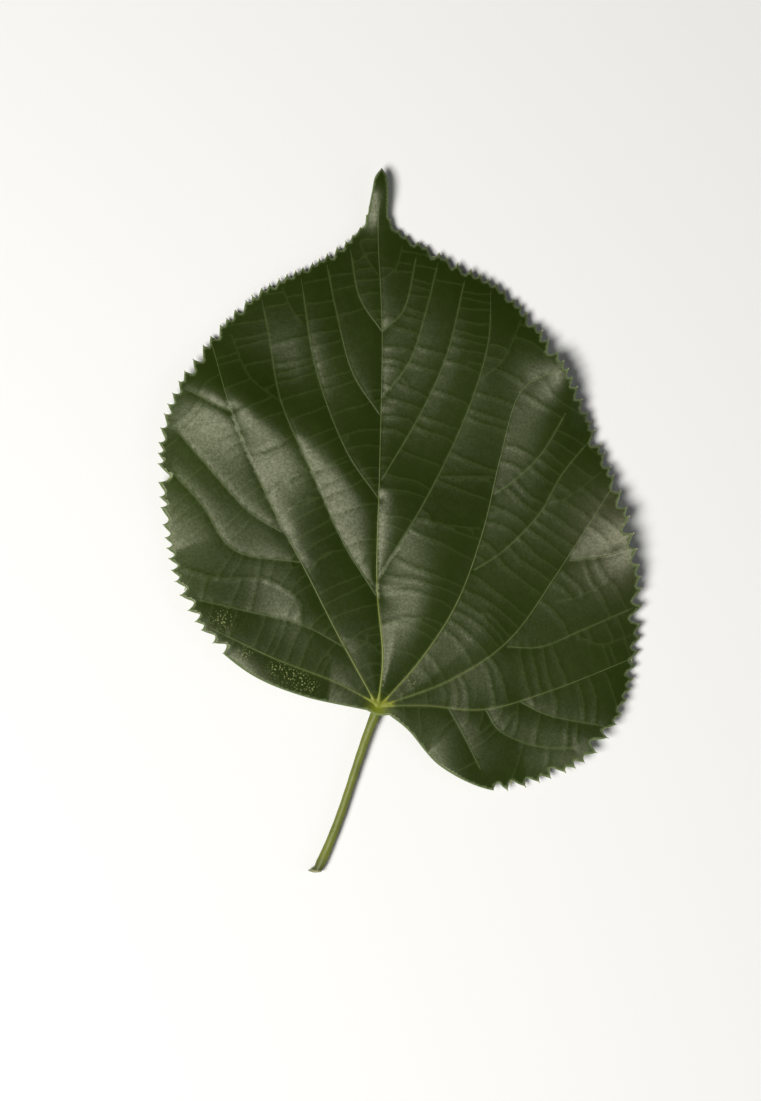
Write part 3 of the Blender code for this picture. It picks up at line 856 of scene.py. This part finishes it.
veinLook = {
    "hub": (0.135, 0.165, 0.026),
    "mainPale": (0.088, 0.112, 0.034),
    "mainDeep": (0.064, 0.086, 0.022),
    "sidePale": (0.056, 0.080, 0.024),
    "sideDeep": (0.040, 0.060, 0.014),
    "underPale": (0.34, 0.37, 0.14),
    "underDeep": (0.26, 0.30, 0.10),
}

# radii, depth of the tube's axis below the face in radii, sides of the tube
topVeins = {
    "step": 0.4,
    "main": {"root": 0.25, "tip": 0.08, "sunk": 0.5, "sides": 8},
    "side": {"root": 0.15, "tip": 0.07, "sunk": 0.35, "sides": 6},
}

underVeins = {
    "step": 0.9,
    "sunk": 0.55,
    "main": {"root": 0.66, "tip": 0.24, "sides": 12},
    "side": {"root": 0.36, "tip": 0.18, "sides": 8},
    "minor": {"root": 0.20, "tip": 0.12, "sides": 6},
    "rung": {"root": 0.12, "tip": 0.09, "sides": 4},
}


def topRun(line, look, girth=1.0):
    stations = evenly(line, topVeins["step"])
    height = frameZ(upperFace(stations)[0])
    share = lengths(stations) / lengths(stations)[-1]
    radii = look["tip"] + (look["root"] * girth - look["tip"]) * (1 - share) ** 1.6
    return np.column_stack([stations, height - radii * look["sunk"]]), radii


def underRun(line, look):
    stations = evenly(line, underVeins["step"])
    height = frameZ(upperFace(stations, fineRelief=False)[0]) - blade["thickness"]
    share = lengths(stations) / lengths(stations)[-1]
    radii = look["tip"] + (look["root"] - look["tip"]) * (1 - share)
    return np.column_stack([stations, height - radii * underVeins["sunk"]]), radii


mainTop = veinMaterial("veinMainTop", veinLook["mainPale"], veinLook["mainDeep"], 0.42, veinLook["hub"])
sideTop = veinMaterial("veinSideTop", veinLook["sidePale"], veinLook["sideDeep"], 0.45)
underVein = veinMaterial("veinUnder", veinLook["underPale"], veinLook["underDeep"], 0.6)


def fromHub(line):
    # Main veins that start outside the knot are led back to its middle
    if math.dist(line[0], knotCentre) < 1.0:
        return line
    return np.vstack([evenly(np.array([knotCentre, line[0]]), 0.3)[:-1], line])


def addRibs(name, lines, kind):
    look = underVeins[kind]
    return addVeins(name, [underRun(line, look) for line in lines], underVein, look["sides"])


girths = np.array([girth for girth, _ in mainVeins.values()])
shares = (girths / girths[0]) ** 2
mainRuns = [topRun(fromHub(line), topVeins["main"], share) for line, share in zip(mainLines, shares)]
addVeins("mainVeinsTop", mainRuns, mainTop, topVeins["main"]["sides"])
sideRuns = [topRun(line, topVeins["side"]) for line in sideLines]
addVeins("sideVeinsTop", sideRuns, sideTop, topVeins["side"]["sides"])

cadMain = ["midrib", "vein_left_main", "vein_right_main", "vein_right_basal", "vein_left_basal",
           "vein_right_lower"]
cadSide = [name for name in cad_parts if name.startswith(("side_vein", "branch_"))]
mainRibs = addRibs("mainRibs", mainLines, "main")
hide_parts(*cadMain)
sideRibs = addRibs("sideRibs", sideLines, "side")
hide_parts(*cadSide)
addRibs("minorRibs", minorLines, "minor")
addRibs("rungRibs", rungLines, "rung")


# Stalk and knot

stalk = {
    "line": [(0.1, 0.2), (-0.4, -1.5), (-1.9, -5.3), (-3.8, -10.9), (-6.8, -20.0), (-9.0, -25.7),
             (-11.35, -31.05)],
    "lineStep": 0.1,
    # share of the way from the knot to the foot, and radius there
    "radii": [(0.0, 1.0), (0.06, 0.95), (0.16, 0.84), (0.5, 0.76), (0.85, 0.86), (0.94, 0.97), (0.98, 0.92),
              (1.0, 0.95)],
    "rings": 150,
    "sides": 28,
    "grooves": 7,
    "grooveDepth": 0.02,
    "lumpDepth": 0.025,
    "seed": 3,
    "footFrom": 0.9,       # share of the way where the dark foot begins
    "scarDepth": 0.3,
    "flap": 1.0,           # torn skin that stands out on the left of the foot, in radii
    "flapLength": 0.03,    # share of the stalk over which it stands out
    "scarLength": 0.016,
    # rings of the hollow scar: share of the radius, share of its depth, paleness
    "scarRings": [(0.92, 0.0, 1.0), (0.7, 0.35, 1.0), (0.42, 0.8, 0.8), (0.16, 1.0, 0.6)],
    "slant": 0.45,         # of the foot's end, which lies level in the plan
    "slantLength": 0.06,
    "footHeight": 1.06,
    "drop": 0.12,          # of its head below the knot's middle
}

stalkLook = {
    "pale": (0.138, 0.158, 0.020),
    "deep": (0.105, 0.126, 0.014),
    "fleck": (0.06, 0.068, 0.010),
    "foot": (0.028, 0.036, 0.004),
    "scar": (0.24, 0.24, 0.13),
    "roughness": 0.46,
}


def stalkMaterial():
    made, tree, shader = nodeMaterial("stalkSkin")
    look = stalkLook
    spread = ramp(tree, noise(tree, 180.0, 3.0), 0.3, 0.7)
    colour = mixColour(tree, spread, look["pale"], look["deep"])
    flecks = ramp(tree, noise(tree, 1100.0, 2.0), 0.66, 0.74)
    colour = mixColour(tree, product(tree, flecks, 0.5), colour, look["fleck"])
    colour = mixColour(tree, product(tree, mask(tree, "foot"), 0.9), colour, look["foot"])
    colour = mixColour(tree, ramp(tree, mask(tree, "scar"), 0.2, 0.7), colour, look["scar"])
    tree.links.new(colour, shader.inputs["Base Color"])
    shader.inputs["Roughness"].default_value = look["roughness"]
    shader.inputs["Specular IOR Level"].default_value = 0.3
    bumps(tree, shader, [(noise(tree, 700.0, 4.0), 0.00012)])
    return made


stalkSkin = stalkMaterial()
knotHeight = (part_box("knot")[0].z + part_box("knot")[1].z) / 2 / mm


def stalkSpine():
    line = smoothLine(stalk["line"], stalk["lineStep"])
    line = evenly(line, lengths(line)[-1] / stalk["rings"])
    share = lengths(line) / lengths(line)[-1]
    radii = np.interp(share, *zip(*stalk["radii"]))
    fall = (1.0 - share) ** 2 * (1.0 + 2.0 * share)
    height = stalk["footHeight"] + (knotHeight - stalk["drop"] - stalk["footHeight"]) * fall
    return np.column_stack([line, height]), radii, share


def addStalk():
    spine, radii, share = stalkSpine()
    lean = np.gradient(spine, axis=0)
    lean /= np.linalg.norm(lean, axis=1)[:, None]
    across = np.cross(lean, (0.0, 0.0, 1.0))
    across /= np.linalg.norm(across, axis=1)[:, None]
    up = np.cross(across, lean)
    chance = random.Random(stalk["seed"])
    phase = [chance.uniform(0, math.tau) for _ in range(4)]
    mesh = bpy.data.meshes.new("stalk")
    build = bmesh.new()
    rings = []
    foot = []
    scar = []
    for i, centre in enumerate(spine):
        ring = []
        for j in range(stalk["sides"]):
            turn = math.tau * j / stalk["sides"]
            ripple = math.sin(stalk["grooves"] * turn + phase[0]) * stalk["grooveDepth"]
            lump = math.sin(9 * share[i] * math.tau + phase[1] + turn) * math.sin(3 * turn + phase[2])
            left = 1.0 - share[i]
            torn = max(0.0, 1.0 - left / stalk["flapLength"]) * max(0.0, math.cos(turn)) ** 3
            flap = stalk["flap"] * torn * (1.0 + 0.25 * math.sin(11 * turn))
            radius = radii[i] * (1.0 + ripple + stalk["lumpDepth"] * lump + flap)
            spot = centre + radius * (math.cos(turn) * across[i] + math.sin(turn) * up[i])
            spot[1] -= stalk["slant"] * max(0.0, 1.0 - left / stalk["slantLength"]) * math.cos(turn)
            ring.append(build.verts.new((spot + shift3) * mm))
            foot.append(max(0.0, 1.0 - left / (1.0 - stalk["footFrom"])))
            scar.append(0.9 * max(0.0, min(1.0, 2.0 - 2.0 * left / stalk["scarLength"])) + 0.5 * torn)
        rings.append(ring)
    for inner, deep, pale in stalk["scarRings"]:
        ring = []
        for j in range(stalk["sides"]):
            turn = math.tau * j / stalk["sides"]
            rough = 1.0 + 0.08 * math.sin(5 * turn + phase[3])
            away = radii[-1] * inner * rough * (math.cos(turn) * across[-1] + math.sin(turn) * up[-1])
            spot = spine[-1] + away - lean[-1] * stalk["scarDepth"] * deep
            spot[1] -= stalk["slant"] * inner * math.cos(turn)
            ring.append(build.verts.new((spot + shift3) * mm))
            foot.append(0.2)
            scar.append(pale)
        rings.append(ring)
    for low, high in zip(rings, rings[1:]):
        for j in range(stalk["sides"]):
            k = (j + 1) % stalk["sides"]
            build.faces.new((low[j], low[k], high[k], high[j]))
    build.faces.new(rings[0][::-1])
    build.faces.new(rings[-1])
    bmesh.ops.recalc_face_normals(build, faces=build.faces)
    build.to_mesh(mesh)
    build.free()
    floatAttribute(mesh, "foot", foot)
    floatAttribute(mesh, "scar", scar)
    mesh.shade_smooth()
    mesh.materials.append(stalkSkin)
    piece = bpy.data.objects.new("stalk", mesh)
    bpy.context.collection.objects.link(piece)
    return piece


stalkPiece = addStalk()
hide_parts("petiole")
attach(stalkPiece, "root")


knot = {
    "radius": 1.15,
    "halfHeight": 0.9,
    "rootReach": 6.0,      # of the vein roots from its middle
    "rootStep": 0.3,
    "rootGirth": (0.2, 0.5),    # radius of a root at its end, and growth up to the middle
    "headGrowth": (0.04, -0.16, 16),    # past the stalk's radius, from first to last ring, and rings
    "voxel": 0.13,
    "smoothing": 8,
    "pale": (0.185, 0.205, 0.020),
    "deep": (0.150, 0.172, 0.014),
}


def addKnot():
    # Ball, stalk end and vein roots melted into one body by a fine remesh
    build = bmesh.new()
    ball = bmesh.ops.create_icosphere(build, subdivisions=4, radius=1.0)["verts"]
    middle = Vector((*(knotCentre + shift), knotHeight)) * mm
    size = Vector((knot["radius"], knot["radius"], knot["halfHeight"]))
    for vert in ball:
        vert.co = vert.co * size * mm + middle
    for line in mainLines:
        places = evenly(fromHub(line), knot["rootStep"])
        places = places[np.linalg.norm(places - knotCentre, axis=1) < knot["rootReach"]]
        height = frameZ(upperFace(places)[0])
        for place, z in zip(places, height):
            out = math.dist(place, knotCentre) / knot["rootReach"]
            least, growth = knot["rootGirth"]
            girth = least + growth * (1 - out) ** 3
            rootBall = bmesh.ops.create_icosphere(build, subdivisions=2, radius=girth * mm)["verts"]
            for vert in rootBall:
                vert.co += Vector((*(place + shift), z - 0.5 * girth)) * mm
    spine, radii, _ = stalkSpine()
    for centre, radius, growth in zip(spine, radii, np.linspace(*knot["headGrowth"])):
        ball = bmesh.ops.create_icosphere(build, subdivisions=3, radius=(radius + growth) * mm)["verts"]
        for vert in ball:
            vert.co += Vector((centre + shift3) * mm)
    mesh = bpy.data.meshes.new("knot")
    build.to_mesh(mesh)
    build.free()
    piece = bpy.data.objects.new("knotSwelling", mesh)
    bpy.context.collection.objects.link(piece)
    melt = piece.modifiers.new("melt", "REMESH")
    melt.mode = "VOXEL"
    melt.voxel_size = knot["voxel"] * mm
    melt.use_smooth_shade = True
    soften = piece.modifiers.new("soften", "SMOOTH")
    soften.factor = 0.5
    soften.iterations = knot["smoothing"]
    applied(piece)
    piece.data.materials.clear()
    piece.data.materials.append(veinMaterial("knotSkin", knot["pale"], knot["deep"], 0.42))
    return piece


knotPiece = addKnot()
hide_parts("knot")
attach(knotPiece, "root")
print("stalk and knot:", len(stalkPiece.data.polygons), len(knotPiece.data.polygons), "faces")


# Gland tips on the teeth, set out by Geometry Nodes

glands = {
    "girth": 0.15,
    "vary": 0.25,          # of the scale below 1
    "largest": 1.15,
    "seed": 8,
    "inset": 0.09,
    "sunk": 0.4,           # below the face, in thicknesses of the blade
    "pale": (0.42, 0.42, 0.22),
    "deep": (0.32, 0.32, 0.15),
}


def glandTree(material):
    settings = [("Girth", "NodeSocketFloat"), ("Vary", "NodeSocketFloat"), ("Seed", "NodeSocketInt")]
    tree, start, result, keys = growTree("glandTips", "Points", settings, "Tips", material)
    toPoints = tree.nodes.new("GeometryNodeMeshToPoints")
    bead = tree.nodes.new("GeometryNodeMeshIcoSphere")
    bead.inputs["Subdivisions"].default_value = 2
    least = tree.nodes.new("ShaderNodeMath")
    least.operation = "SUBTRACT"
    least.inputs[0].default_value = 1.0
    chanceNode = tree.nodes.new("FunctionNodeRandomValue")
    chanceNode.data_type = "FLOAT"
    chanceNode.inputs[3].default_value = glands["largest"]
    place = tree.nodes.new("GeometryNodeInstanceOnPoints")
    link = tree.links.new
    link(start.outputs["Points"], toPoints.inputs["Mesh"])
    link(start.outputs["Girth"], bead.inputs["Radius"])
    link(start.outputs["Vary"], least.inputs[1])
    link(least.outputs[0], chanceNode.inputs[2])
    link(start.outputs["Seed"], chanceNode.inputs["Seed"])
    link(toPoints.outputs["Points"], place.inputs["Points"])
    link(bead.outputs["Mesh"], place.inputs["Instance"])
    link(chanceNode.outputs[1], place.inputs["Scale"])
    link(place.outputs["Instances"], result)
    return tree, keys


def addGlands():
    tips = np.array([spot + inward * glands["inset"] for spot, inward in rightTips + leftTips])
    height = frameZ(upperFace(tips)[0]) - blade["thickness"] * glands["sunk"]
    mesh = bpy.data.meshes.new("glandTips")
    mesh.from_pydata((np.column_stack([tips + shift, height]) * mm).tolist(), [], [])
    tree, keys = glandTree(veinMaterial("glandSkin", glands["pale"], glands["deep"], 0.4))
    grow("glandTips", mesh, tree, zip(keys, [glands["girth"] * mm, glands["vary"], glands["seed"]]))


addGlands()


# Floor, light and camera

view = {
    "target": (0.66, 29.7),   # middle of the photo, in the plan
    "height": 207.7,          # length of the photo's long side at the leaf
    "lens": 100.0,
    "sensor": 36.0,
}


def addStage():
    bpy.ops.mesh.primitive_plane_add(size=4.0, location=(0.0, 0.0, -0.00005))
    floor = bpy.context.object
    floor.name = "floor"
    made, tree, shader = nodeMaterial("paleFloor")
    shader.inputs["Base Color"].default_value = (0.72, 0.72, 0.71, 1.0)
    shader.inputs["Roughness"].default_value = 0.9
    floor.data.materials.append(made)


def addLamp(name, place, target, size, power, colour):
    light = bpy.data.lights.new(name, "AREA")
    light.shape = "RECTANGLE"
    light.size, light.size_y = size
    light.energy = power
    light.color = colour
    lamp = bpy.data.objects.new(name, light)
    lamp.location = place
    lamp.rotation_euler = (Vector(target) - Vector(place)).to_track_quat("-Z", "Y").to_euler()
    bpy.context.collection.objects.link(lamp)


def addCamera():
    data = bpy.data.cameras.new("camera")
    data.lens = view["lens"]
    data.sensor_width = view["sensor"]
    data.clip_start = 0.01
    data.clip_end = 20.0
    camera = bpy.data.objects.new("camera", data)
    away = view["height"] * mm * view["lens"] / view["sensor"]
    camera.location = (*((np.array(view["target"]) + shift) * mm), away + 0.002)
    bpy.context.collection.objects.link(camera)
    bpy.context.scene.camera = camera


addStage()
addLamp("keySoftbox", (-0.381, -0.22, 0.8), (0.0, 0.0, 0.0), (0.4, 0.4), 12.0, (1.0, 0.985, 0.96))
addLamp("fillSoftbox", (0.8, -0.3, 0.5), (0.0, 0.0, 0.0), (0.8, 0.8), 1.5, (0.97, 0.985, 1.0))
world = bpy.data.worlds.new("softRoom")
world.use_nodes = True
world.node_tree.nodes["Background"].inputs["Color"].default_value = (0.9, 0.93, 1.0, 1.0)
world.node_tree.nodes["Background"].inputs["Strength"].default_value = 0.05
bpy.context.scene.world = world
addCamera()
bpy.context.scene.view_settings.view_transform = "Standard"
print("stage, lights and camera set")

bpy.context.view_layer.update()
